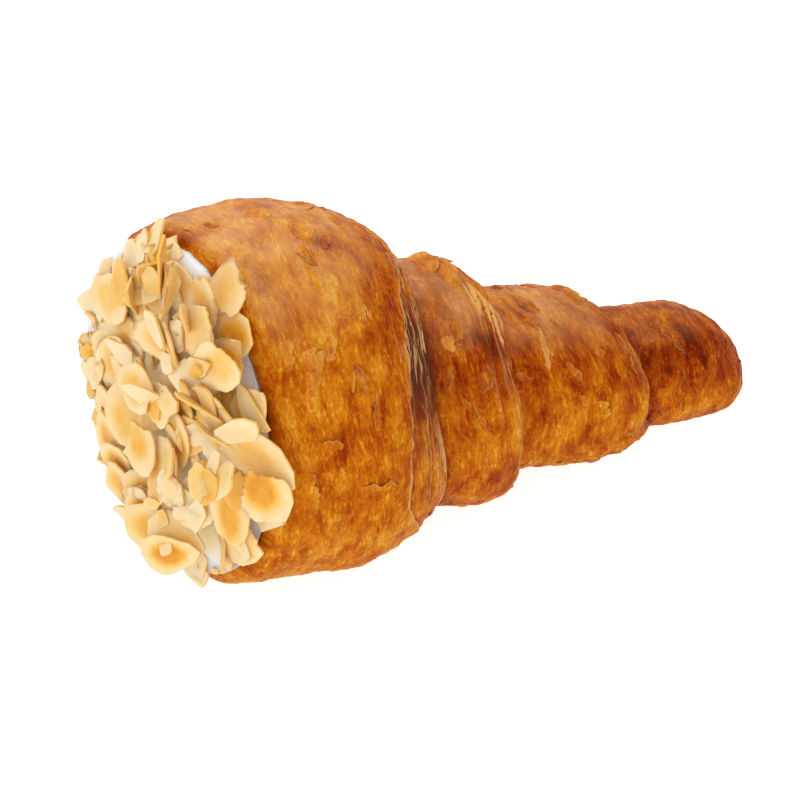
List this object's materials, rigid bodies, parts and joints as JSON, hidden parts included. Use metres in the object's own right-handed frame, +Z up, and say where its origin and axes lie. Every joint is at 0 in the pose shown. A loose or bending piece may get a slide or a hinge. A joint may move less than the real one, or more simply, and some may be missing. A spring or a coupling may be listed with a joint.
{
  "type": "cream horn pastry",
  "caption": "Cone of laminated pastry wound as a lapped spiral, filled with whipped cream, its open end heaped with sliced almonds.",
  "frame": {"origin": "on the floor under the middle of the bounding box of the pastry as it lies", "axes": "+X from the mouth towards the tip, +Z up; the mouth looks to -X and a little to -Y"},
  "size_m": [0.1498, 0.0816, 0.0842],
  "materials": {
    "crust": "baked golden-brown laminated crust with a faint sheen",
    "cream": "soft whipped cream",
    "almond": "pale lightly toasted sliced almond"
  },
  "bodies": {
    "root": {"pastry": "crust", "cream": "cream", "almond_flake_01": "almond", "almond_flake_02": "almond", "almond_flake_03": "almond", "almond_flake_04": "almond", "almond_flake_05": "almond", "almond_flake_06": "almond", "almond_flake_07": "almond", "almond_flake_08": "almond", "almond_flake_09": "almond", "almond_flake_10": "almond", "almond_flake_11": "almond", "almond_flake_12": "almond", "almond_flake_13": "almond", "almond_flake_14": "almond", "almond_flake_15": "almond", "almond_flake_16": "almond", "almond_flake_17": "almond", "almond_flake_18": "almond", "almond_flake_19": "almond", "almond_flake_20": "almond", "almond_flake_21": "almond", "almond_flake_22": "almond", "almond_flake_23": "almond", "almond_flake_24": "almond", "almond_flake_25": "almond", "almond_flake_26": "almond", "almond_flake_27": "almond", "almond_flake_28": "almond", "almond_flake_29": "almond", "almond_flake_30": "almond", "almond_flake_31": "almond", "almond_flake_32": "almond", "almond_flake_33": "almond", "almond_flake_34": "almond", "almond_flake_35": "almond", "almond_flake_36": "almond", "almond_flake_37": "almond", "almond_flake_38": "almond", "almond_flake_39": "almond", "almond_flake_40": "almond", "almond_flake_41": "almond", "almond_flake_42": "almond"}
  },
  "joints": []
}
